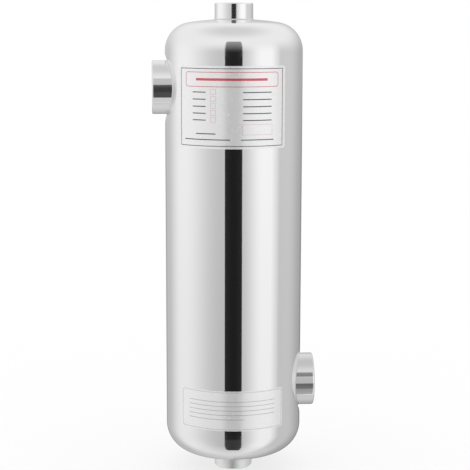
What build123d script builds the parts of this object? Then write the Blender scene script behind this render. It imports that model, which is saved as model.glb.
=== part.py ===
from build123d import *
from math import atan2, degrees, sqrt
import os

# Pool heat exchanger: an upright steel shell with two dished heads, a bundle of
# straight tubes inside, heating sockets at both ends and pool sockets on the sides.
# Millimetres, +Z up along the shell, origin at the centre of the bottom socket's face.

# Shell and dished heads
shell_diameter = 139.7
shell_wall = 2.0
tangent_length = 387.0  # straight stretch between the tangent lines of the two heads
knuckle_radius = 28.7  # outside, where the head turns in from its skirt
crown_radius = 305.0  # outside, over the middle of the head
head_skirt = 4.0  # straight rim of each head, from tangent line to seam

# Heating sockets, for a 1 inch pipe thread
heating_socket_diameter = 39.0
heating_socket_wall = 4.35  # round the bore
heating_socket_stand = 16.0  # above the crown of the head
heating_socket_length = 23.0
heating_edge_chamfer = 1.0

# Pool sockets, for a 1 1/2 inch pipe thread
pool_socket_diameter = 54.0
pool_socket_wall = 4.6  # round the bore
pool_socket_stand = 13.15  # beyond the shell's surface
pool_socket_length = 23.5
pool_edge_round = 1.2
upper_pool_drop = 36.8  # below the upper tangent line
lower_pool_rise = 44.2  # above the lower tangent line
thread_lead_in = 1.3  # chamfer at the mouth of every bore

# Welds
socket_weld_leg = 1.2
pool_weld_leg = 1.8
weld_land = 0.3  # flat left at each toe of a saddle weld

# Tube bundle
tube_diameter = 16.0
tube_wall = 1.0
tube_projection = 1.5  # beyond the outer face of each tube sheet
inner_ring_radius = 23.5
inner_ring_count = 6
outer_ring_radius = 47.0
outer_ring_count = 12
tube_sheet_thickness = 8.0
baffle_thickness = 2.0
baffle_count = 3  # spread evenly between the two pool sockets
baffle_edge = 30.5  # from the axis to a baffle's straight edge

# Clearances
weld_gap = 0.1  # between a socket and the hole that it is welded into
sheet_gap = 0.1  # between a tube sheet and the shell round it
baffle_gap = 0.6  # between a baffle and the shell round it
tube_gap = 0.15  # between a tube and its hole in a sheet or a baffle

# Values that follow from the sizes above
shell_radius = shell_diameter / 2
shell_inner_radius = shell_radius - shell_wall
heating_radius = heating_socket_diameter / 2
heating_bore_radius = heating_radius - heating_socket_wall
pool_radius = pool_socket_diameter / 2
pool_bore_radius = pool_radius - pool_socket_wall
tube_radius = tube_diameter / 2
knuckle_centre = shell_radius - knuckle_radius
crown_centre = -sqrt((crown_radius - knuckle_radius) ** 2 - knuckle_centre**2)
crown_angle = degrees(atan2(-crown_centre, knuckle_centre))
head_height = crown_centre + crown_radius
lower_tangent = heating_socket_stand + head_height
upper_tangent = lower_tangent + tangent_length
overall_height = upper_tangent + head_height + heating_socket_stand
lower_seam = lower_tangent + head_skirt
upper_seam = upper_tangent - head_skirt
sheet_radius = shell_inner_radius - sheet_gap
pool_socket_reach = shell_radius + pool_socket_stand
upper_pool_height = upper_tangent - upper_pool_drop
lower_pool_height = lower_tangent + lower_pool_rise
baffle_pitch = (upper_pool_height - lower_pool_height) / (baffle_count + 1)

# Each end has a frame of its own: x runs outwards from the axis, y runs out of the vessel
ends = {
    "bottom": Plane((0, 0, lower_tangent), x_dir=(1, 0, 0), z_dir=(0, 1, 0)),
    "top": Plane((0, 0, upper_tangent), x_dir=(1, 0, 0), z_dir=(0, -1, 0)),
}

# Each pool socket has its outward plane on the shell's axis
pool_sides = {
    "lower": Plane((0, 0, lower_pool_height), x_dir=(0, 1, 0), z_dir=(1, 0, 0)),
    "upper": Plane((0, 0, upper_pool_height), x_dir=(0, -1, 0), z_dir=(-1, 0, 0)),
}


def dished_outline(inset, mode=Mode.ADD):
    # Half outline of a head, drawn inside its outer face by the inset: skirt, knuckle, crown
    with BuildLine() as outline:
        skirt = Line((shell_radius - inset, -head_skirt), (shell_radius - inset, 0))
        CenterArc((knuckle_centre, 0), knuckle_radius - inset, 0, crown_angle)
        crown = CenterArc((0, crown_centre), crown_radius - inset, crown_angle, 90 - crown_angle)
        Polyline(crown @ 1, (0, -head_skirt), skirt @ 0)
    make_face(outline.edges(), mode=mode)


def distance_from_axes(point, socket_height):
    # Distance from the shell's axis and from a pool socket's axis, added up
    return sqrt(point.X**2 + point.Y**2) + sqrt(point.Y**2 + (point.Z - socket_height) ** 2)


def mouth_edges(socket, outward):
    # The two circles on a socket's outer face, the bore's first
    rims = socket.edges().filter_by(GeomType.CIRCLE).group_by(Axis((0, 0, 0), outward))[-1]
    return rims.sort_by(SortBy.RADIUS)


def save(part, name):
    part.label = name
    export_step(part, f"parts/{name}.step")


os.makedirs("parts", exist_ok=True)

# Shell: one rolled cylinder with a round hole for each pool socket
with BuildPart() as shell:
    with BuildSketch(Plane.XY.offset(lower_seam)):
        Circle(shell_radius)
        Circle(shell_inner_radius, mode=Mode.SUBTRACT)
    extrude(amount=upper_seam - lower_seam)
    for side in pool_sides.values():
        with BuildSketch(side):
            Circle(pool_radius + weld_gap)
        extrude(amount=pool_socket_reach, mode=Mode.SUBTRACT)
save(shell.part, "shell")

# Dished heads, each with a hole for its heating socket
for end, plane in ends.items():
    with BuildPart() as cap:
        with BuildSketch(plane):
            dished_outline(0)
            dished_outline(shell_wall, mode=Mode.SUBTRACT)
            with Locations((0, head_height)):
                Rectangle(2 * (heating_radius + weld_gap), head_height, mode=Mode.SUBTRACT)
        revolve(axis=Axis.Z)
    save(cap.part, f"{end}_cap")

# Heating sockets: turned rings through the crown of each head
for end, plane in ends.items():
    socket_face = head_height + heating_socket_stand
    with BuildPart() as heating_socket:
        with BuildSketch(plane):
            with Locations((heating_bore_radius, socket_face)):
                Rectangle(
                    heating_socket_wall,
                    heating_socket_length,
                    align=(Align.MIN, Align.MAX),
                )
        revolve(axis=Axis.Z)
        mouth = mouth_edges(heating_socket, plane.y_dir)
        chamfer(mouth[0], thread_lead_in)
        chamfer(mouth[-1], heating_edge_chamfer)
    save(heating_socket.part, f"{end}_heating_socket")

# Ring welds round the heating sockets, lying on the crown
for end, plane in ends.items():
    with BuildPart() as socket_weld:
        with BuildSketch(plane):
            toe = (heating_radius + weld_gap, head_height)
            with BuildLine():
                Polyline(
                    (toe[0], toe[1] - shell_wall / 2),
                    (toe[0], toe[1] + socket_weld_leg),
                    (toe[0] + socket_weld_leg, toe[1] - shell_wall / 2),
                    close=True,
                )
            make_face()
            dished_outline(0, mode=Mode.SUBTRACT)
        revolve(axis=Axis.Z)
    save(socket_weld.part, f"{end}_socket_weld")

# Pool sockets: wider rings through the shell's wall
for side, plane in pool_sides.items():
    with BuildPart() as pool_socket:
        with BuildSketch(plane.offset(pool_socket_reach)):
            Circle(pool_radius)
            Circle(pool_bore_radius, mode=Mode.SUBTRACT)
        extrude(amount=-pool_socket_length)
        mouth = mouth_edges(pool_socket, plane.z_dir)
        chamfer(mouth[0], thread_lead_in)
        fillet(mouth[-1], pool_edge_round)
    save(pool_socket.part, f"{side}_pool_socket")

# Saddle welds: a collar that follows both the shell and the socket, with its ridge cut off
for side, plane in pool_sides.items():
    with BuildPart() as pool_weld:
        with BuildSketch(plane):
            Circle(pool_radius + pool_weld_leg)
            Circle(pool_radius + weld_gap, mode=Mode.SUBTRACT)
        extrude(amount=pool_socket_reach)
        with BuildSketch():
            Circle(shell_radius + pool_weld_leg)
        extrude(amount=overall_height, mode=Mode.INTERSECT)
        with BuildSketch():
            Circle(shell_radius)
        extrude(amount=overall_height, mode=Mode.SUBTRACT)
        ridge = pool_weld.edges().sort_by(lambda edge: distance_from_axes(edge @ 0.3, plane.origin.Z))[-1]
        chamfer(ridge, pool_weld_leg - weld_land)
    save(pool_weld.part, f"{side}_pool_weld")

# Places of the tubes: one on the axis and two rings round it
tube_places = [Vector(0, 0)]
for ring in (
    PolarLocations(inner_ring_radius, inner_ring_count, start_angle=180 / inner_ring_count),
    PolarLocations(outer_ring_radius, outer_ring_count),
):
    tube_places += [place.position for place in ring]

# Tube sheets, one across each seam
for end, seam in (("bottom", lower_seam), ("top", upper_seam)):
    with BuildPart() as tube_sheet:
        with BuildSketch(Plane.XY.offset(seam - tube_sheet_thickness / 2)):
            Circle(sheet_radius)
            with Locations(*tube_places):
                Circle(tube_radius + tube_gap, mode=Mode.SUBTRACT)
        extrude(amount=tube_sheet_thickness)
    save(tube_sheet.part, f"{end}_tube_sheet")

# Segmental baffles, open on alternate sides so that the pool water crosses the tubes
for number in range(1, baffle_count + 1):
    baffle_height = lower_pool_height + number * baffle_pitch
    open_side = -1 if number % 2 else 1
    with BuildPart() as baffle:
        with BuildSketch(Plane.XY.offset(baffle_height - baffle_thickness / 2)):
            Circle(shell_inner_radius - baffle_gap)
            with Locations((open_side * baffle_edge, 0)):
                Rectangle(
                    shell_diameter,
                    shell_diameter,
                    align=(Align.MIN if open_side > 0 else Align.MAX, Align.CENTER),
                    mode=Mode.SUBTRACT,
                )
            with Locations(*tube_places):
                Circle(tube_radius + tube_gap, mode=Mode.SUBTRACT)
        extrude(amount=baffle_thickness)
    save(baffle.part, f"baffle_{number}")

# Tubes, through both sheets
tube_start = lower_seam - tube_sheet_thickness / 2 - tube_projection
tube_end = upper_seam + tube_sheet_thickness / 2 + tube_projection
for number, place in enumerate(tube_places, start=1):
    with BuildPart() as tube:
        with BuildSketch(Plane((place.X, place.Y, tube_start))):
            Circle(tube_radius)
            Circle(tube_radius - tube_wall, mode=Mode.SUBTRACT)
        extrude(amount=tube_end - tube_start)
    save(tube.part, f"tube_{number:02d}")
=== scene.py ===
from math import cos, pi, radians, sin

import bpy
import numpy as np
from mathutils import Matrix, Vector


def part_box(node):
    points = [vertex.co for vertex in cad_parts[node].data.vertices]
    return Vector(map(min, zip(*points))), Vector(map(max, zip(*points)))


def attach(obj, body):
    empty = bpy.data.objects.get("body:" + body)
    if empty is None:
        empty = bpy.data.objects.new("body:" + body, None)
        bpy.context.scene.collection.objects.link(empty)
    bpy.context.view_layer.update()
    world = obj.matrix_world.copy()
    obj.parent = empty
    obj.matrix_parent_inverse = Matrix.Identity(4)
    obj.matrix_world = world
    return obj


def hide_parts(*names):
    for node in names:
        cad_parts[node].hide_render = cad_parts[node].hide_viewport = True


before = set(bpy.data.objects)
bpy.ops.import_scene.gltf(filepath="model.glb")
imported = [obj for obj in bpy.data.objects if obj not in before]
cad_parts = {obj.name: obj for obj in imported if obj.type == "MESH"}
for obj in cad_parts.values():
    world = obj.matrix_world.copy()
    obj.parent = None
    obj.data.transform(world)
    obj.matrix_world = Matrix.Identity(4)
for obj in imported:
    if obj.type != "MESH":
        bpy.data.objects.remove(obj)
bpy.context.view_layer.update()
print("frame loaded,", len(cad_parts), "nodes")

# The whole scene is in metres, with Z up along the vessel and the pool sockets on the X axis


def addNode(tree, kind, inputs=None, **settings):
    # One shader node: its settings first, then each input gets a link or a plain value
    node = tree.nodes.new("ShaderNode" + kind)
    for key, value in settings.items():
        setattr(node, key, value)
    for key, value in (inputs or {}).items():
        if isinstance(value, bpy.types.NodeSocket):
            tree.links.new(value, node.inputs[key])
        else:
            node.inputs[key].default_value = value
    return node


def mathNode(tree, operation, *values):
    # Plain arithmetic on one to three sockets or numbers
    return addNode(tree, "Math", dict(enumerate(values)), operation=operation).outputs[0]


def softStep(tree, value, start, end, low=0.0, high=1.0):
    # Smooth S-shaped change from low at the start to high at the end
    inputs = {"Value": value, "From Min": start, "From Max": end, "To Min": low, "To Max": high}
    return addNode(tree, "MapRange", inputs, interpolation_type="SMOOTHSTEP").outputs["Result"]


def blendNode(tree, share, low, high):
    # Low where the share is 0, high where it is 1
    return addNode(tree, "Mix", {"Factor": share, "A": low, "B": high}, data_type="FLOAT").outputs["Result"]


# Camera at the photograph's place: far away, a little above the middle, looking slightly down
cameraSettings = {
    "distance": 1.42635,
    "height": 0.47402,
    "turn": 3.75,  # degrees from the front towards the upper pool socket
    "pitch": 9.0986,
    "aside": 0.063,  # degrees that the aim passes to the right of the axis
    "roll": 0.115,
    "lens": 107.01,
    "sensor": 36.0,
    "clip": (0.05, 50.0),
}


def makeCamera(settings):
    # Stands on a circle round the axis, then turns: heading about Z, pitch about X and roll about the line
    # of sight
    turn = radians(settings["turn"])
    camera = bpy.data.objects.new("camera", bpy.data.cameras.new("camera"))
    bpy.context.scene.collection.objects.link(camera)
    camera.data.lens, camera.data.sensor_width = settings["lens"], settings["sensor"]
    camera.data.clip_start, camera.data.clip_end = settings["clip"]
    place = (-settings["distance"] * sin(turn), -settings["distance"] * cos(turn), settings["height"])
    camera.matrix_world = (
        Matrix.Translation(place)
        @ Matrix.Rotation(-turn - radians(settings["aside"]), 4, "Z")
        @ Matrix.Rotation(pi / 2 - radians(settings["pitch"]), 4, "X")
        @ Matrix.Rotation(radians(settings["roll"]), 4, "Z")
    )
    bpy.context.scene.camera = camera


makeCamera(cameraSettings)
bpy.context.scene.view_settings.view_transform = "Standard"
print("camera placed")

# The studio round the vessel, as its polished steel shows it. Directions are in degrees: azimuth from the
# camera, positive to its right, and elevation from level. Brightness 1 is white. A soft edge is given as
# (where it starts, where it is full), and a share is how far a band covers what lies under it.
studio = {
    "walls": 0.57,
    "dome": 1.25,  # what dull surfaces see, the same from every side
    "boxes": {
        "left": {"near": (-16, -90), "far": (-144, -98), "brightness": 0.36},
        "right": {"near": (8, 50), "far": (88, 58), "brightness": 0.43},
        "rightRim": {"near": (60, 66), "far": (83, 78), "brightness": 0.06},
        "rightWall": {"near": (60, 96), "far": (150, 104), "brightness": 0.06},
        "rightShade": {"near": (104, 150), "far": (182, 181), "brightness": -0.14},
    },
    "darkBack": {"from": 146, "full": 178, "brightness": -0.3, "top": (-7, -1), "foot": (-19, -42)},
    "fall": {"from": -18, "to": 0, "low": 0.955, "high": 1.045},  # the light grows a little upwards
    "overhead": {"from": -6, "full": 36, "brightness": 0.93, "share": 1.0},
    "ceiling": {"from": 44, "full": 82, "brightness": 0.72, "share": 1.0},
    "ground": {"from": -44, "full": -62, "brightness": 0.74, "share": 0.5},
    "nadir": {"from": -62, "full": -84, "brightness": 0.76, "share": 0.9},
    "card": {
        "across": (-14.45, 14.35),
        "up": (-66, 41),
        "corner": (3.0, 6.0),
        "edge": 0.07,
        "flare": (-17, -58, 0.8),  # it widens downwards: start, end and the gain on azimuth there
    },
    "cardShade": {"middle": 0.0145, "sides": 0.012, "top": (-5, 50, 0.34), "foot": (-16.5, -21, 0.028)},
}


def makeWorld(settings):
    # Camera rays meet plain white, diffuse rays an even white dome, mirror rays the studio's soft boxes
    world = bpy.data.worlds.new("studio")
    bpy.context.scene.world = world
    world.use_nodes = True
    world.cycles.sampling_method = "NONE"
    tree = world.node_tree
    tree.nodes.clear()
    turn = radians(cameraSettings["turn"])
    direction = addNode(tree, "TexCoord").outputs["Generated"]
    toCamera, toRight = (
        addNode(tree, "VectorMath", {0: direction, 1: way}, operation="DOT_PRODUCT").outputs["Value"]
        for way in ((-sin(turn), -cos(turn), 0), (cos(turn), -sin(turn), 0))
    )
    azimuth = mathNode(tree, "DEGREES", mathNode(tree, "ARCTAN2", toRight, toCamera))
    height = addNode(tree, "SeparateXYZ", {0: direction}).outputs["Z"]
    elevation = mathNode(tree, "DEGREES", mathNode(tree, "ARCSINE", height))

    light = settings["walls"]
    for box in settings["boxes"].values():
        between = mathNode(
            tree, "MULTIPLY", softStep(tree, azimuth, *box["near"]), softStep(tree, azimuth, *box["far"])
        )
        light = mathNode(tree, "MULTIPLY_ADD", between, box["brightness"], light)
    back, fall = settings["darkBack"], settings["fall"]
    behind = softStep(tree, mathNode(tree, "ABSOLUTE", azimuth), back["from"], back["full"])
    for start, end in (back["top"], back["foot"]):
        behind = mathNode(tree, "MULTIPLY", behind, softStep(tree, elevation, end, start))
    light = mathNode(tree, "MULTIPLY_ADD", behind, back["brightness"], light)
    gain = softStep(tree, elevation, fall["from"], fall["to"], fall["low"], fall["high"])
    light = mathNode(tree, "MULTIPLY", light, gain)
    for name in ("overhead", "ceiling", "ground", "nadir"):
        band = settings[name]
        share = softStep(tree, elevation, band["from"], band["full"], 0.0, band["share"])
        light = blendNode(tree, share, light, band["brightness"])

    # The dark card before the vessel is a rectangle with rounded corners: along each direction, the part of
    # the way through the corner is (distance from the middle - straight half) / corner, and the edge is
    # where the two parts' root of squares is 1
    card, shade = settings["card"], settings["cardShade"]
    start, end, gain = card["flare"]
    spread = mathNode(tree, "MULTIPLY", azimuth, softStep(tree, elevation, start, end, 1.0, gain))
    parts = []
    for angle, (low, high), corner in zip((spread, elevation), (card["across"], card["up"]), card["corner"]):
        fromMiddle = mathNode(tree, "ABSOLUTE", mathNode(tree, "SUBTRACT", angle, (low + high) / 2))
        straight = (high - low) / 2 - corner
        part = mathNode(tree, "MULTIPLY_ADD", fromMiddle, 1 / corner, -straight / corner)
        parts.append(mathNode(tree, "POWER", mathNode(tree, "MAXIMUM", part, 0.0), 2.0))
    outward = mathNode(tree, "SQRT", mathNode(tree, "ADD", *parts))
    cover = softStep(tree, outward, 1 + card["edge"], 1 - card["edge"])
    side = mathNode(tree, "POWER", mathNode(tree, "MULTIPLY", azimuth, 1 / card["across"][1]), 2.0)
    dark = mathNode(tree, "MULTIPLY_ADD", side, shade["sides"], shade["middle"])
    for start, end, gain in (shade["top"], shade["foot"]):
        dark = mathNode(tree, "ADD", dark, softStep(tree, elevation, start, end, 0.0, gain))
    light = blendNode(tree, cover, light, dark)

    path = addNode(tree, "LightPath")
    mirrored = mathNode(tree, "MAXIMUM", path.outputs["Is Glossy Ray"], path.outputs["Is Transmission Ray"])
    dome = mathNode(tree, "MULTIPLY_ADD", path.outputs["Is Diffuse Ray"], settings["dome"] - 1, 1.0)
    even = addNode(tree, "Background", {"Color": (1, 1, 1, 1), "Strength": dome})
    boxes = addNode(tree, "Background", {"Color": (1, 1, 1, 1), "Strength": light})
    mixed = addNode(tree, "MixShader", {0: mirrored, 1: even.outputs[0], 2: boxes.outputs[0]})
    addNode(tree, "OutputWorld", {"Surface": mixed.outputs[0]})


makeWorld(studio)
print("studio built")

floorSettings = {"size": 12.0, "paint": 0.256}


def makeFloor(settings):
    # Flat square under the vessel; camera rays see it lifted to white by what the dome's light on its paint
    # leaves missing, so that the vessel's soft shadow stays
    half = settings["size"] / 2
    mesh = bpy.data.meshes.new("floor")
    corners = np.array([[-1, -1, 0], [1, -1, 0], [1, 1, 0], [-1, 1, 0]]) * half
    mesh.from_pydata(corners.tolist(), [], [(0, 1, 2, 3)])
    floor = bpy.data.objects.new("floor", mesh)
    bpy.context.scene.collection.objects.link(floor)
    floor.visible_glossy = False  # mirrors see the studio's own ground
    material = bpy.data.materials.new("floorPaint")
    material.use_nodes = True
    tree = material.node_tree
    tree.nodes.clear()
    paint = settings["paint"]
    missing = 1 - paint * studio["dome"]
    seen = addNode(tree, "LightPath").outputs["Is Camera Ray"]
    diffuse = addNode(tree, "BsdfDiffuse", {"Color": (paint, paint, paint, 1)})
    strength = mathNode(tree, "MULTIPLY", seen, missing)
    lift = addNode(tree, "Emission", {"Color": (1, 1, 1, 1), "Strength": strength})
    total = addNode(tree, "AddShader", {0: diffuse.outputs[0], 1: lift.outputs[0]})
    addNode(tree, "OutputMaterial", {"Surface": total.outputs[0]})
    mesh.materials.append(material)


makeFloor(floorSettings)


def noiseRange(tree, noise, middle, spread):
    # Value round a middle, less or more by a share of it where the noise is low or high
    inputs = {
        "Value": noise, "From Min": 0.3, "From Max": 0.7,
        "To Min": middle * (1 - spread), "To Max": middle * (1 + spread),
    }
    return addNode(tree, "MapRange", inputs).outputs["Result"]


grain = {"smear": 0.02, "lineSpread": 0.2, "cloud": 55.0, "cloudSpread": 0.5}


def steelFinish(
    name, tone, roughness, lineScale, lineDepth, uneven=0.0, tint=None, place=(0, 0, 0), turn=(0, 0, 0)
):
    # Bare steel with fine turning lines: noise over (radius, height) from the piece's own axis varies
    # the roughness and lifts the surface a little. Place and turn bring that axis onto Z.
    material = bpy.data.materials.new(name)
    material.use_nodes = True
    tree = material.node_tree
    tree.nodes.clear()
    coordinates = addNode(tree, "TexCoord").outputs["Object"]
    own = addNode(tree, "Mapping", {"Vector": coordinates, "Location": place, "Rotation": turn}).outputs[0]
    flat = addNode(tree, "VectorMath", {0: own, 1: (1, 1, 0)}, operation="MULTIPLY").outputs[0]
    radius = addNode(tree, "VectorMath", {0: flat}, operation="LENGTH").outputs["Value"]
    height = addNode(tree, "SeparateXYZ", {0: own}).outputs["Z"]
    lineSpace = addNode(tree, "CombineXYZ", {"X": radius, "Y": height}).outputs[0]
    smear = addNode(tree, "VectorMath", {0: own, "Scale": grain["smear"]}, operation="SCALE").outputs[0]
    lineSpace = addNode(tree, "VectorMath", {0: lineSpace, 1: smear}, operation="ADD").outputs[0]
    lines = addNode(
        tree, "TexNoise", {"Vector": lineSpace, "Scale": lineScale, "Detail": 3.0, "Roughness": 0.6}
    )
    cloud = addNode(
        tree, "TexNoise", {"Vector": coordinates, "Scale": grain["cloud"], "Detail": 2.0, "Roughness": 0.5}
    )
    polish = noiseRange(tree, lines.outputs[0], roughness, grain["lineSpread"])
    patches = mathNode(tree, "SUBTRACT", cloud.outputs[0], 0.5)
    polish = mathNode(tree, "MULTIPLY_ADD", patches, roughness * grain["cloudSpread"], polish)
    low = tuple(part * (1 - uneven) for part in tone)
    colour = addNode(
        tree, "Mix", {"Factor": cloud.outputs[0], "A": (*low, 1), "B": (*(tint or tone), 1)}, data_type="RGBA"
    )
    bump = addNode(
        tree, "Bump", {"Strength": 1.0, "Distance": lineDepth, "Height": lines.outputs[0]}
    ).outputs[0]
    shader = addNode(
        tree, "BsdfPrincipled",
        {"Base Color": colour.outputs["Result"], "Metallic": 1.0, "Roughness": polish, "Normal": bump},
    )
    addNode(tree, "OutputMaterial", {"Surface": shader.outputs[0]})
    return material


# The pool sockets' axes lie along X, so a quarter turn about Y and a shift by their height bring them onto Z
poolHeights = {"upper": 0.397976, "lower": 0.091976}
onUpperAxis, onLowerAxis = (
    {"place": (height, 0, 0), "turn": (0, -pi / 2, 0)} for height in poolHeights.values()
)
mirrorSteel = steelFinish("mirrorSteel", (0.885, 0.885, 0.885), 0.045, 1800, 4e-8, uneven=0.01)
capSteel = steelFinish("capSteel", (0.88, 0.88, 0.88), 0.08, 1500, 6e-8, uneven=0.01)
topTurnedSteel = steelFinish("topTurnedSteel", (0.94, 0.94, 0.94), 0.12, 1400, 6e-7, uneven=0.02)
bottomTurnedSteel = steelFinish("bottomTurnedSteel", (0.9, 0.9, 0.9), 0.52, 1400, 6e-7, uneven=0.02)
upperTurnedSteel = steelFinish(
    "upperTurnedSteel", (0.84, 0.84, 0.84), 0.09, 1400, 6e-7, uneven=0.02, **onUpperAxis
)
# The lower pool socket's steel is a darker copy of the upper one's: its lower tone is painted shade, standing
# in for the darker reflections on that socket
lowerSteelPaintedShade = steelFinish(
    "lowerSteelPaintedShade", (0.74, 0.74, 0.74), 0.09, 1400, 6e-7, uneven=0.02, **onLowerAxis
)
beadSteel = steelFinish(
    "beadSteel", (0.7, 0.7, 0.7), 0.2, 500, 3e-6, uneven=0.1, tint=(0.74, 0.735, 0.72)
)
plateSteel = steelFinish("plateSteel", (0.60, 0.60, 0.60), 0.34, 900, 4e-6, uneven=0.1)
tubeSteel = steelFinish("tubeSteel", (0.66, 0.66, 0.66), 0.26, 800, 2e-6, uneven=0.08)
print("steel finishes made")


def gridFaces(rows, columns, closedRows=False, closedColumns=False):
    # Quads between neighbours in a grid of points, running round where a direction is closed
    i, j = np.meshgrid(
        np.arange(rows - (not closedRows)), np.arange(columns - (not closedColumns)), indexing="ij"
    )
    up, on = (i + 1) % rows, (j + 1) % columns
    corners = [i * columns + j, i * columns + on, up * columns + on, up * columns + j]
    return np.stack(corners, axis=-1).reshape(-1, 4)


def doubleSheet(faces, count, borders):
    # A sheet and its twin, whose point numbers are higher by the count, joined by quads along each border
    sides = [np.stack([np.roll(b, -1), b, b + count, np.roll(b, -1) + count], axis=-1) for b in borders]
    return np.vstack([faces, faces[:, ::-1] + count, *sides])


def makePiece(name, points, faces, finish, standsFor=(), crease=32):
    # Closed solid of quads. Its volume is the sum of corner triple products, and a negative one turns every
    # face round. The crease is the angle between faces from which their edge is sharp.
    points = np.asarray(points, float).reshape(-1, 3)
    used, faces = np.unique(faces, return_inverse=True)
    points, faces = points[used], faces.reshape(-1, 4)
    a, b, c, d = (points[faces[:, k]] for k in range(4))
    if ((a * np.cross(b, c)).sum() + (a * np.cross(c, d)).sum()) < 0:
        faces = faces[:, ::-1]
    mesh = bpy.data.meshes.new(name)
    mesh.vertices.add(len(points))
    mesh.vertices.foreach_set("co", points.astype(np.float32).ravel())
    mesh.loops.add(faces.size)
    mesh.loops.foreach_set("vertex_index", faces.astype(np.int32).ravel())
    mesh.polygons.add(len(faces))
    mesh.polygons.foreach_set("loop_start", np.arange(0, faces.size, 4, dtype=np.int32))
    mesh.polygons.foreach_set("use_smooth", np.ones(len(faces), bool))
    mesh.update(calc_edges=True)
    mesh.validate()
    mesh.set_sharp_from_angle(angle=radians(crease))
    mesh.materials.append(finish)
    piece = bpy.data.objects.new(name, mesh)
    bpy.context.scene.collection.objects.link(piece)
    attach(piece, "root")
    if standsFor:
        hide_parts(*standsFor)


def roundedOutline(corners, steps=7):
    # Closed outline with rounded corners, from rows of (x, y, radius): each arc's centre is on the corner's
    # bisector, radius / sin(half angle) away, and the arc sweeps from one side's tangent point to the other's
    corners = np.array(corners, float)
    point, radius = corners[:, :2], corners[:, 2]
    back, ahead = np.roll(point, 1, axis=0) - point, np.roll(point, -1, axis=0) - point
    back /= np.linalg.norm(back, axis=1, keepdims=True)
    ahead /= np.linalg.norm(ahead, axis=1, keepdims=True)
    middle = back + ahead
    middle /= np.linalg.norm(middle, axis=1, keepdims=True)
    inLine = (middle * ahead).sum(axis=1)
    half = np.arccos(np.clip(inLine, -1, 1))
    across = ahead - middle * inLine[:, None]
    across /= np.linalg.norm(across, axis=1, keepdims=True)
    centre = point + middle * (radius / np.sin(half))[:, None]
    sweep = ((pi / 2 - half)[:, None] * np.linspace(-1, 1, steps))[..., None]
    way = np.sin(sweep) * across[:, None] - np.cos(sweep) * middle[:, None]
    return (centre[:, None] + radius[:, None, None] * way).reshape(-1, 2)


def cutSides(outline, step):
    # Each side of a closed outline is cut into equal lengths no longer than the step, or than its own step
    side = np.roll(outline, -1, axis=0) - outline
    count = np.maximum(np.ceil(np.linalg.norm(side, axis=1) / step - 1e-6), 1).astype(int)
    first = np.repeat(np.cumsum(count) - count, count)
    share = ((np.arange(count.sum()) - first) / np.repeat(count, count))[:, None]
    return np.repeat(outline, count, axis=0) + share * np.repeat(side, count, axis=0)


def turnedPoints(outline, segments, origin, outward, swell=None):
    # Turned solid: an outline point (radius, height) goes round the outward axis, at origin +
    # radius (cos a, sin a across the axis) + height outward. Swell is a function of (angle, height, radius)
    # that is added to the radius.
    outward, origin = np.array(outward, float), np.array(origin, float)
    first = np.array([0.0, 1.0, 0.0])
    second = np.cross(outward, first)
    angle = np.linspace(0, 2 * pi, segments, endpoint=False)[None, :]
    radius, height = outline[:, :1] + 0 * angle, outline[:, 1:] + 0 * angle
    if swell is not None:
        radius = radius + swell(angle, height, radius)
    return (
        origin
        + radius[..., None] * (np.cos(angle)[..., None] * first + np.sin(angle)[..., None] * second)
        + height[..., None] * outward
    )


vessel = {
    "radius": 0.06985,
    "wall": 0.002,
    "lowerTangent": 0.047776,
    "upperTangent": 0.434776,
    "skirt": 0.004,
    "knuckle": 0.0287,
    "crown": 0.305,
    "columns": 288,
    "rows": 140,
    "layers": 18,
    "window": 0.0388,  # half the square of shell round each pool socket
    "holeRadius": 0.0271,
    "dent": 0.002,  # how far the weld has drawn the shell in at the hole's edge
    "dentReach": 0.0042,
    "lowerPool": poolHeights["lower"],
    "upperPool": poolHeights["upper"],
}
lowerSeam = vessel["lowerTangent"] + vessel["skirt"]
upperSeam = vessel["upperTangent"] - vessel["skirt"]


def dentDepth(distance):
    # The shell lies deeper round a pool socket, by dent exp(-((distance - hole radius) / reach)^2)
    return vessel["dent"] * np.exp(-(((distance - vessel["holeRadius"]) / vessel["dentReach"]) ** 2))


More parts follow.
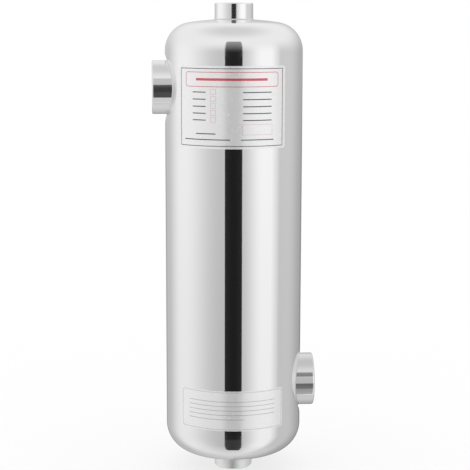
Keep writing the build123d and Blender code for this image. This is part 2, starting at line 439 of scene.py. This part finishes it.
def makeShell(settings):
    # Cylinder sheet over (angle, height). Round each pool socket a square window of it gives way to rings of
    # points between the window's edge and the hole, where height = r cos p and sideways = r sin p.
    # The inner sheet is the same grid, one wall further in.
    outer, wall, hole = settings["radius"], settings["wall"], settings["holeRadius"]
    rows, columns, layers = settings["rows"], settings["columns"], settings["layers"]
    heights = np.linspace(lowerSeam, upperSeam, rows)
    angles = np.linspace(-pi / 2, 3 * pi / 2, columns, endpoint=False)
    height, angle = (grid.ravel() for grid in np.meshgrid(heights, angles, indexing="ij"))
    faces = gridFaces(rows, columns, closedColumns=True)
    faceRow, faceColumn = faces[:, 0] // columns, faces[:, 0] % columns
    kept = np.ones(len(faces), bool)
    patches, rims = [], []
    for poolAngle, poolHeight in ((0.0, settings["lowerPool"]), (pi, settings["upperPool"])):
        i = np.flatnonzero(np.abs(heights - poolHeight) <= settings["window"])
        j = np.flatnonzero(np.abs(angles - poolAngle) * outer <= settings["window"])
        kept &= ~((faceRow >= i[0]) & (faceRow < i[-1]) & (faceColumn >= j[0]) & (faceColumn < j[-1]))
        edge = np.concatenate([
            i[0] * columns + j[:-1],
            i[:-1] * columns + j[-1],
            i[-1] * columns + j[:0:-1],
            i[:0:-1] * columns + j[0],
        ])
        up, across = height[edge] - poolHeight, angle[edge] - poolAngle
        p = np.arctan2(across * outer, up)
        share = np.linspace(1, 0, layers + 1)[1:, None]
        start = len(height)
        holeAngle = np.arcsin(hole * np.sin(p) / outer)
        height = np.append(height, poolHeight + (1 - share) * hole * np.cos(p) + share * up)
        angle = np.append(angle, poolAngle + (1 - share) * holeAngle + share * across)
        ring = np.vstack([edge, start + np.arange(layers * len(edge)).reshape(layers, -1)])
        patches.append(ring.ravel()[gridFaces(layers + 1, len(edge), closedColumns=True)])
        rims.append((ring[-1], poolAngle + np.arcsin(hole * np.sin(p) / (outer - wall))))
    dent = np.zeros(len(height))
    for poolAngle, poolHeight in ((0.0, settings["lowerPool"]), (pi, settings["upperPool"])):
        distance = np.hypot(height - poolHeight, outer * np.sin(angle - poolAngle))
        dent += dentDepth(distance) * (np.cos(angle - poolAngle) > 0)
    innerAngle = angle.copy()
    for rim, rimAngle in rims:
        innerAngle[rim] = rimAngle
    sheets = []
    for radius, turned in ((outer - dent, angle), (outer - wall - dent, innerAngle)):
        sheets.append(np.column_stack([radius * np.cos(turned), radius * np.sin(turned), height]))
    borders = [np.arange(columns), (rows - 1) * columns + np.arange(columns)[::-1]]
    borders += [rim[::-1] for rim, _ in rims]
    faces = doubleSheet(np.vstack([faces[kept], *patches]), len(height), borders)
    makePiece("polishedShell", np.vstack(sheets), faces, mirrorSteel, ["shell"])


makeShell(vessel)
print("shell made")

# Centres of a head's two arcs: the knuckle's lies this far from the axis at the tangent line, and the crown's
# on the axis, where both arcs have one tangent
knuckleCentre = vessel["radius"] - vessel["knuckle"]
crownCentre = -np.sqrt((vessel["crown"] - vessel["knuckle"]) ** 2 - knuckleCentre**2)


def headCurve(inset, edgeRadius, steps=40):
    # Half profile of a dished head, from its skirt's rim to the given radius: skirt, knuckle arc, crown arc
    meet = np.arctan2(-crownCentre, knuckleCentre)
    knuckle = np.linspace(0, meet, steps)
    end = np.arccos(edgeRadius / (vessel["crown"] - inset))
    crown = np.linspace(meet, end, steps)[1:]
    small, large = vessel["knuckle"] - inset, vessel["crown"] - inset
    skirt = np.column_stack([np.full(4, vessel["radius"] - inset), np.linspace(-vessel["skirt"], 0, 4)])
    return np.vstack([
        skirt[:-1],
        np.column_stack([knuckleCentre + small * np.cos(knuckle), small * np.sin(knuckle)]),
        np.column_stack([large * np.cos(crown), crownCentre + large * np.sin(crown)]),
    ])


def crownHeight(radius):
    # Height of the outer crown above the tangent line: centre + sqrt(crown radius^2 - radius^2)
    return crownCentre + np.sqrt(vessel["crown"] ** 2 - radius**2)


ends = {
    "top": {
        "origin": (0, 0, vessel["upperTangent"]),
        "outward": (0, 0, 1),
        "finish": topTurnedSteel,
    },
    "bottom": {
        "origin": (0, 0, vessel["lowerTangent"]),
        "outward": (0, 0, -1),
        "finish": bottomTurnedSteel,
    },
}
heatingSocket = {
    "radius": 0.0195,
    "bore": 0.01515,
    "length": 0.023,
    "chamfer": 0.001,
    "face": crownHeight(0) + 0.016,  # above the tangent line
    "gap": 0.0001,  # to the hole in the head
}


def makeHeads():
    # Turned closed outline: the outer curve out to the socket's hole, then the inner curve back
    holeRadius = heatingSocket["radius"] + heatingSocket["gap"]
    outline = np.vstack([headCurve(0, holeRadius), headCurve(vessel["wall"], holeRadius)[::-1]])
    for end, place in ends.items():
        points = turnedPoints(outline, vessel["columns"], place["origin"], place["outward"])
        faces = gridFaces(*points.shape[:2], True, True)
        makePiece(f"{end}Head", points, faces, capSteel, [f"{end}_cap"], crease=40)


makeHeads()
print("heads made")


thread = {
    "pitch": 0.00231,
    "depth": 0.00135,
    "flank": 3.6,  # steepness of the groove's sides, in depths per pitch
    "flat": 1.25,  # past 1, the groove's bottom is flat
    "fadeIn": 0.003,
    "fadeOut": 0.0008,
    "start": 0.0008,  # from the bore's inner end
}
socketDetail = {
    "leadIn": 0.0013,
    "ease": 0.00012,  # radius of the small edges
    "boreStep": 0.00028,
    "step": 0.00112,
    "segments": 144,
}


def threadSwell(bore, inner, outer):
    # Pipe thread cut into the bore: a triangle wave of (height / pitch + angle / full turn) with flat
    # crests and bottoms, which fades out at both ends of the bore
    def swell(angle, height, radius):
        phase = (height / thread["pitch"] + angle / (2 * pi)) % 1
        groove = np.clip(thread["flat"] - np.abs(phase - 0.5) * thread["flank"], 0, 1)
        fade = np.clip((height - inner) / thread["fadeIn"], 0, 1)
        fade = fade * np.clip((outer - height) / thread["fadeOut"], 0, 1)
        onBore = radius < bore + 1e-5
        return thread["depth"] * groove * fade * onBore

    return swell


def makeSocket(name, settings, origin, outward, finish, node):
    # Turned ring: outer wall, rounded or chamfered rim, mouth with a lead-in, threaded bore and plain inner
    # end. Only the bore is cut finely along its height, for the thread.
    radius, bore, face = settings["radius"], settings["bore"], settings["face"]
    back, lead, ease = face - settings["length"], socketDetail["leadIn"], socketDetail["ease"]
    if "chamfer" in settings:
        chamfer = settings["chamfer"]
        rim = [(radius, face - chamfer, ease * 2), (radius - chamfer, face, ease * 2)]
    else:
        rim = [(radius, face, settings["rounding"])]
    corners = [
        (bore, back, ease), (radius, back, ease), *rim, (bore + lead, face, ease), (bore, face - lead, ease),
    ]
    outline = roundedOutline(corners)
    onBore = np.maximum(outline[:, 0], np.roll(outline[:, 0], -1)) < bore + 1e-5
    outline = cutSides(outline, np.where(onBore, socketDetail["boreStep"], socketDetail["step"]))
    swell = threadSwell(bore, back + thread["start"], face - lead)
    points = turnedPoints(outline, socketDetail["segments"], origin, outward, swell)
    faces = gridFaces(*points.shape[:2], True, True)
    makePiece(name, points, faces, finish, [node], crease=38)


for end, place in ends.items():
    makeSocket(
        f"{end}Socket", heatingSocket, place["origin"], place["outward"], place["finish"],
        f"{end}_heating_socket",
    )

poolSocket = {
    "radius": 0.027,
    "bore": 0.0224,
    "length": 0.0235,
    "rounding": 0.0012,
    "face": 0.083,  # from the vessel's axis
}
pools = {
    "upper": {"height": vessel["upperPool"], "outward": (-1, 0, 0), "finish": upperTurnedSteel},
    "lower": {"height": vessel["lowerPool"], "outward": (1, 0, 0), "finish": lowerSteelPaintedShade},
}
for side, place in pools.items():
    makeSocket(
        f"{side}PoolSocket", poolSocket, (0, 0, place["height"]), place["outward"], place["finish"],
        f"{side}_pool_socket",
    )
print("sockets made")

# Light that only a pool socket's polished side shows, as (elevation, brightness added) with straight slopes
# between. The sheets' distances differ, so that they never lie in one plane.
socketGlow = {
    "upper": {
        "distance": 0.5,
        "halfWidth": 0.2,
        "steps": (
            (-70, 0.0), (-66.4, 0.0), (-65.6, 0.66), (-42, 0.66), (-41.5, 0.035), (12, 0.035), (13, 0.5),
            (26, 0.4), (40.6, 0.28), (41.2, 0.0),
        ),
    },
    "lower": {
        "distance": 0.55,
        "halfWidth": 0.2,
        "steps": (
            (-70, 0.0), (-66.4, 0.0), (-65.6, 0.46), (-33, 0.34), (-30.5, 0.15), (-9, 0.13), (-7, 0.62),
            (21, 0.5), (24, 0.04), (41, 0.0),
        ),
    },
}


def makeSocketGlow(side, settings):
    # Upright sheet before the socket. Its light is a function of the elevation seen from the socket,
    # atan(height / distance), and reaches that socket's steel alone
    place, far, half = pools[side], settings["distance"], settings["halfWidth"]
    middle = place["outward"][0] * poolSocket["face"]
    tall = far * np.tan(radians(-settings["steps"][0][0]))
    corners = np.array([[-half, -far, -tall], [half, -far, -tall], [half, -far, tall], [-half, -far, tall]])
    mesh = bpy.data.meshes.new(f"{side}Glow")
    mesh.from_pydata((corners + (middle, 0, place["height"])).tolist(), [], [(0, 1, 2, 3)])
    sheet = bpy.data.objects.new(f"{side}Glow", mesh)
    bpy.context.scene.collection.objects.link(sheet)
    sheet.visible_camera = sheet.visible_diffuse = False
    sheet.visible_shadow = sheet.visible_transmission = False
    receivers = bpy.data.collections.new(f"{side}GlowReceivers")
    receivers.objects.link(bpy.data.objects[f"{side}PoolSocket"])
    sheet.light_linking.receiver_collection = receivers
    material = bpy.data.materials.new(f"{side}GlowSheet")
    material.use_nodes = True
    tree = material.node_tree
    tree.nodes.clear()
    height = addNode(tree, "SeparateXYZ", {0: addNode(tree, "TexCoord").outputs["Object"]}).outputs["Z"]
    slope = mathNode(tree, "MULTIPLY_ADD", height, 1 / far, -place["height"] / far)
    elevation = mathNode(tree, "DEGREES", mathNode(tree, "ARCTANGENT", slope))
    # The ramp runs from straight down at 0 to straight up at 1
    ramp = addNode(tree, "ValToRGB", {0: mathNode(tree, "MULTIPLY_ADD", elevation, 1 / 180, 0.5)})
    stops = ramp.color_ramp.elements
    stops.remove(stops[1])
    for number, (at, brightness) in enumerate(settings["steps"]):
        stop = stops[0] if number == 0 else stops.new(at / 180 + 0.5)
        stop.position, stop.color = at / 180 + 0.5, (brightness, brightness, brightness, 1)
    light = addNode(tree, "Emission", {"Color": (1, 1, 1, 1), "Strength": ramp.outputs[0]})
    clear = addNode(tree, "BsdfTransparent", {"Color": (1, 1, 1, 1)})
    both = addNode(tree, "AddShader", {0: light.outputs[0], 1: clear.outputs[0]})
    addNode(tree, "OutputMaterial", {"Surface": both.outputs[0]})
    material.cycles.emission_sampling = "NONE"
    mesh.materials.append(material)


for side, settings in socketGlow.items():
    makeSocketGlow(side, settings)
print("socket lights made")

bead = {
    "crownLeg": 0.0008,
    "poolLeg": 0.0009,
    "bulge": 0.00008,
    "ripple": 0.00005,
    "pitch": 0.0014,
    "bend": 0.9,  # how far a ripple's crescent bows
    "across": 17,
    "sink": 0.0002,  # of the hidden side, under the corner
    "toeSink": 0.00012,
    "inward": 0.12,  # share of the way from a toe to the corner
    "bite": 0.00004,  # how deep a toe lies in the steel
    "rootDepth": 0.0003,
    "crownSegments": 540,
    "poolSegments": 640,
}


def beadSection(inToe, outToe, corner, away, angleLength):
    # Weld bead between two toes: a straight blend of the toes, pushed away from the corner by a parabola,
    # with crescent ripples of (length along the bead / pitch + bend (across - 1/2)^2), closed by points
    # sunk under the toes
    across = np.linspace(0, 1, bead["across"])[:, None, None]
    parabola = 4 * across * (1 - across)
    phase = angleLength[None, :, None] / bead["pitch"] + bead["bend"] * (across - 0.5) ** 2
    lift = parabola * bead["bulge"] + np.sqrt(parabola) * np.abs(np.sin(pi * phase)) * bead["ripple"]
    top = inToe * (1 - across) + outToe * across + away * lift
    outer, inner = (
        toe + (corner - toe) * bead["inward"] - away * bead["toeSink"] for toe in (outToe, inToe)
    )
    return np.concatenate([top, np.stack([outer, corner - away * bead["sink"], inner])])


def makeCrownBeads():
    # Bead round a heating socket: toes at the socket's wall and on the crown, turned about the axis
    angle = np.linspace(0, 2 * pi, bead["crownSegments"], endpoint=False)
    ring = np.column_stack([np.cos(angle), np.sin(angle), 0 * angle])
    socket, leg = heatingSocket["radius"], bead["crownLeg"]
    wall = socket - bead["bite"]
    section = [
        (wall, crownHeight(socket) + leg),
        (socket + leg, crownHeight(socket + leg) - bead["bite"]),
        (wall, crownHeight(socket) - bead["rootDepth"]),
    ]
    for end, place in ends.items():
        up = np.array(place["outward"], float)
        inToe, outToe, corner = (place["origin"] + ring * radius + up * height for radius, height in section)
        away = (ring + up) / np.sqrt(2)
        points = beadSection(inToe, outToe, corner, away, angle * (socket + leg / 2))
        faces = gridFaces(*points.shape[:2], True, True)
        makePiece(f"{end}Bead", points, faces, beadSteel, [f"{end}_socket_weld"], crease=60)


def saddleRing(radius, shellRadius, place, p):
    # Where a socket's cylinder meets the vessel's: sideways = r sin p, height = r cos p and
    # outward = sqrt(R^2 - sideways^2)
    sideways = radius * np.sin(p)
    out = place["outward"][0] * np.sqrt(shellRadius**2 - sideways**2)
    return np.column_stack([out, sideways, place["height"] + radius * np.cos(p)])


def makePoolBeads():
    # Saddle bead: toes where the socket's wall and a wider cylinder meet the shell and its offset
    p = np.linspace(0, 2 * pi, bead["poolSegments"], endpoint=False)
    socket, leg = poolSocket["radius"], bead["poolLeg"]
    wall, edge = socket - bead["bite"], vessel["holeRadius"]
    atEdge = vessel["radius"] - dentDepth(edge)
    atToe = vessel["radius"] - dentDepth(edge + leg)
    for side, place in pools.items():
        inToe = saddleRing(wall, atEdge + leg, place, p)
        outToe = saddleRing(socket + leg, atToe - bead["bite"], place, p)
        corner = saddleRing(wall, atEdge - bead["rootDepth"], place, p)
        away = (inToe + outToe) / 2 - corner
        away /= np.linalg.norm(away, axis=1, keepdims=True)
        points = beadSection(inToe, outToe, corner, away, p * (socket + leg / 2))
        faces = gridFaces(*points.shape[:2], True, True)
        makePiece(f"{side}PoolBead", points, faces, beadSteel, [f"{side}_pool_weld"], crease=60)


makeCrownBeads()
makePoolBeads()
print("weld beads made")

bundle = {
    "radius": 0.008,
    "wall": 0.001,
    "low": 0.046276,
    "high": 0.436276,
    "plainEnd": 0.03,
    "fade": 0.01,
    "pitch": 0.016,
    "groove": 0.0005,
    "columns": 24,
    "rows": 118,
}
plates = ("top_tube_sheet", "bottom_tube_sheet", "baffle_1", "baffle_2", "baffle_3")


def makeTubes(settings):
    # Each tube stands on its node's axis. A shallow spiral groove, -depth (0.5 + 0.5 cos(angle + 2 pi
    # height / pitch))^3, runs along it and leaves the ends plain where they pass the tube sheets.
    rows = np.linspace(settings["low"], settings["high"], settings["rows"])
    outer, inner = settings["radius"], settings["radius"] - settings["wall"]
    outline = np.vstack([
        np.column_stack([np.full(len(rows), outer), rows]),
        np.column_stack([np.full(len(rows), inner), rows[::-1]]),
    ])

    def spiral(angle, height, radius):
        wave = 0.5 + 0.5 * np.cos(angle + 2 * pi * height / settings["pitch"])
        fromEnd = np.minimum(height - settings["low"], settings["high"] - height)
        fade = np.clip((fromEnd - settings["plainEnd"]) / settings["fade"], 0, 1)
        return -settings["groove"] * wave**3 * fade

    for node in sorted(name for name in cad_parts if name.startswith("tube_")):
        low, high = (np.array(corner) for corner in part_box(node))
        x, y = (low + high)[:2] / 2
        points = turnedPoints(outline, settings["columns"], (x, y, 0), (0, 0, 1), spiral)
        faces = gridFaces(*points.shape[:2], True, True)
        number = node.removeprefix("tube_")
        makePiece(f"spiralTube{number}", points, faces, tubeSteel, [node], crease=50)


makeTubes(bundle)
for node in plates:
    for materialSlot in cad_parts[node].material_slots:
        materialSlot.material = plateSteel
print("tube bundle made")

mottling = {"scale": 260.0, "dull": 0.975, "spread": 0.15}


def filmFinish(name, colour, metal, roughness):
    # Printed foil: part white print, part silver, with a faint mottle in both
    material = bpy.data.materials.new(name)
    material.use_nodes = True
    tree = material.node_tree
    tree.nodes.clear()
    coordinates = addNode(tree, "TexCoord").outputs["Object"]
    inputs = {"Vector": coordinates, "Scale": mottling["scale"], "Detail": 2.0}
    mottle = addNode(tree, "TexNoise", inputs).outputs[0]
    dull = tuple(part * mottling["dull"] for part in colour)
    paint = addNode(tree, "Mix", {"Factor": mottle, "A": (*dull, 1), "B": (*colour, 1)}, data_type="RGBA")
    gloss = noiseRange(tree, mottle, roughness, mottling["spread"])
    shader = addNode(
        tree, "BsdfPrincipled",
        {"Base Color": paint.outputs["Result"], "Metallic": metal, "Roughness": gloss},
    )
    addNode(tree, "OutputMaterial", {"Surface": shader.outputs[0]})
    return material


film = filmFinish("labelFilm", (0.97, 0.97, 0.975), 0.36, 0.24)
darkInk = filmFinish("darkInk", (0.12, 0.12, 0.13), 0.3, 0.2)
redInk = filmFinish("redInk", (0.75, 0.12, 0.16), 0.25, 0.2)
paleInk = filmFinish("paleInk", (0.5, 0.5, 0.52), 0.3, 0.2)
pinkInk = filmFinish("pinkInk", (0.8, 0.55, 0.57), 0.3, 0.2)


def onShell(along, height, lift, turn):
    # Wraps flat (along, height) onto the shell: angle = turn + along / radius, measured from the front
    angle = turn + along / vessel["radius"]
    reach = vessel["radius"] + lift
    return np.stack([reach * np.sin(angle), -reach * np.cos(angle), height + 0 * angle], axis=-1)


# Heights above the shell, and how finely the flat prints are cut so that they bend with it
printing = {
    "underside": 0.00002,
    "film": 0.00008,
    "ink": 0.00003,  # above the film's face, and as much below it
    "filmColumns": 97,
    "filmRows": 24,
    "cornerRows": 9,
    "ringStep": 0.002,
    "rulePoints": 33,
}
inkLow, inkHigh = printing["film"] - printing["ink"], printing["film"] + printing["ink"]


def makeFilm(name, turn, centre, width, height, corner):
    # Rectangle with rounded corners as a grid: near the ends a row's half width shrinks by
    # corner - sqrt(corner^2 - depth^2). The outer sheet stands on a twin that lies on the steel.
    foot = np.linspace(0, corner, printing["cornerRows"])
    rows = np.concatenate([
        foot[:-1], np.linspace(corner, height - corner, printing["filmRows"]), height - foot[-2::-1],
    ])
    depth = np.maximum(corner - rows, 0) + np.maximum(rows - (height - corner), 0)
    half = width / 2 - corner + np.sqrt(np.maximum(corner**2 - depth**2, 0))
    columns = printing["filmColumns"]
    along = np.linspace(-1, 1, columns)[None, :] * half[:, None]
    up = centre - height / 2 + rows[:, None] + 0 * along
    points = np.concatenate([onShell(along, up, printing[lift], turn) for lift in ("film", "underside")])
    count, sideRows = len(rows) * columns, np.arange(len(rows) - 1)
    border = np.concatenate([
        np.arange(columns - 1), sideRows * columns + columns - 1,
        count - 1 - np.arange(columns - 1), (sideRows[::-1] + 1) * columns,
    ])
    faces = doubleSheet(gridFaces(len(rows), columns), count, [border])
    makePiece(name, points, faces, film, crease=50)


def makeRing(name, turn, box, corner, line, finish):
    # Printed outline: a closed loop of rounded corners and its twin one line width further in, cut alike so
    # that they bend with the shell, with four points across
    left, right, low, high = box

    def loop(inset):
        radius = max(corner - inset, 0.00005)
        xs, ys = (left + inset, right - inset), (low + inset, high - inset)
        return roundedOutline([(xs[i], ys[j], radius) for i, j in ((0, 0), (1, 0), (1, 1), (0, 1))])

    both = cutSides(np.hstack([loop(0), loop(line)]), printing["ringStep"])
    section = [(0, inkLow), (0, inkHigh), (2, inkHigh), (2, inkLow)]
    points = np.stack([onShell(both[:, at], both[:, at + 1], lift, turn) for at, lift in section], axis=1)
    makePiece(name, points, gridFaces(len(both), 4, True, True), finish, crease=50)


def makeRule(name, turn, span, height, line, finish):
    # Printed line: a thin curved bar, a grid of its length by the four corners of its section
    along = np.linspace(*span, printing["rulePoints"])
    section = [(-line / 2, inkLow), (line / 2, inkLow), (line / 2, inkHigh), (-line / 2, inkHigh)]
    side = np.stack([onShell(along, height + shift, lift, turn) for shift, lift in section], axis=1)
    last = (len(along) - 1) * 4
    caps = np.array([[3, 2, 1, 0], [last, last + 1, last + 2, last + 3]])
    faces = np.vstack([gridFaces(len(along), 4, False, True), caps])
    makePiece(name, side, faces, finish, crease=50)


# Both labels are flat drawings: along from the label's middle line, which is turned from the front, and
# height above the floor. A ring's box is (left, right, low, high).
upperLabel = {
    "turn": radians(-5.95),
    "film": {"centre": 0.3815, "width": 0.1179, "height": 0.0806, "corner": 0.0022},
    "frame": {"box": (-0.0554, 0.0554, 0.3436, 0.4195), "corner": 0.0006, "line": 0.0007},
    "title": {"box": (-0.0485, 0.0495, 0.4014, 0.41595), "corner": 0.0028, "line": 0.0006},
    "titleBar": {"span": (-0.036, 0.037), "height": 0.40868, "line": 0.0024},
    "rows": (0.3969, 0.39, 0.3831, 0.3764, 0.3698),
    "tick": {"left": -0.0205, "right": -0.0151, "half": 0.0027, "corner": 0.0003, "line": 0.0004},
    "rowRules": {"name": (-0.04, -0.0254), "value": (0.0118, 0.0417)},
    "rowRuleDrop": 0.0006,
    "ruleLine": 0.001,
    "field": {"box": (0.0112, 0.0425, 0.3549, 0.3654), "corner": 0.0006, "line": 0.0004},
    "footRules": {
        "serialRule": ((-0.0362, -0.0151), 0.3559),
        "leftFootRule": ((-0.0497, -0.0007), 0.3502),
        "rightFootRule": ((0.0098, 0.044), 0.3502),
    },
}


def makeUpperLabel(settings):
    # Blank rating plate: film, dark frame, title box with a plain bar, five ruled rows with a tick box, and
    # an empty field over ruled lines
    turn, tick, line = settings["turn"], settings["tick"], settings["ruleLine"]
    makeFilm("upperFilm", turn, **settings["film"])
    makeRing("upperFrame", turn, **settings["frame"], finish=darkInk)
    makeRing("titleBox", turn, **settings["title"], finish=redInk)
    makeRule("titleBar", turn, **settings["titleBar"], finish=redInk)
    for number, height in enumerate(settings["rows"], start=1):
        box = (tick["left"], tick["right"], height - tick["half"], height + tick["half"])
        makeRing(f"tickBox{number}", turn, box, tick["corner"], tick["line"], pinkInk)
        for kind, span in settings["rowRules"].items():
            makeRule(f"{kind}Rule{number}", turn, span, height - settings["rowRuleDrop"], line, darkInk)
    makeRing("serialField", turn, **settings["field"], finish=pinkInk)
    for name, (span, height) in settings["footRules"].items():
        makeRule(name, turn, span, height, line, darkInk)


lowerLabel = {
    "turn": radians(-5.05),
    "film": {"centre": 0.07725, "width": 0.1136, "height": 0.0413, "corner": 0.003},
    "frame": {"box": (-0.0555, 0.0555, 0.0579, 0.0966), "corner": 0.0024, "line": 0.0004},
    "rules": (0.0868, 0.0822, 0.0776, 0.073, 0.0684),
    "span": (-0.046, 0.046),
    "lastEnd": 0.0138,
    "ruleLine": 0.0006,
}


def makeLowerLabel(settings):
    # Blank notice plate: film with a thin pale frame and plain ruled lines, the last one short
    turn, (start, end) = settings["turn"], settings["span"]
    makeFilm("lowerFilm", turn, **settings["film"])
    makeRing("lowerFrame", turn, **settings["frame"], finish=paleInk)
    ruleEnds = [end] * (len(settings["rules"]) - 1) + [settings["lastEnd"]]
    for number, (height, ruleEnd) in enumerate(zip(settings["rules"], ruleEnds), start=1):
        makeRule(f"noticeRule{number}", turn, (start, ruleEnd), height, settings["ruleLine"], paleInk)


makeUpperLabel(upperLabel)
makeLowerLabel(lowerLabel)
print("labels made")
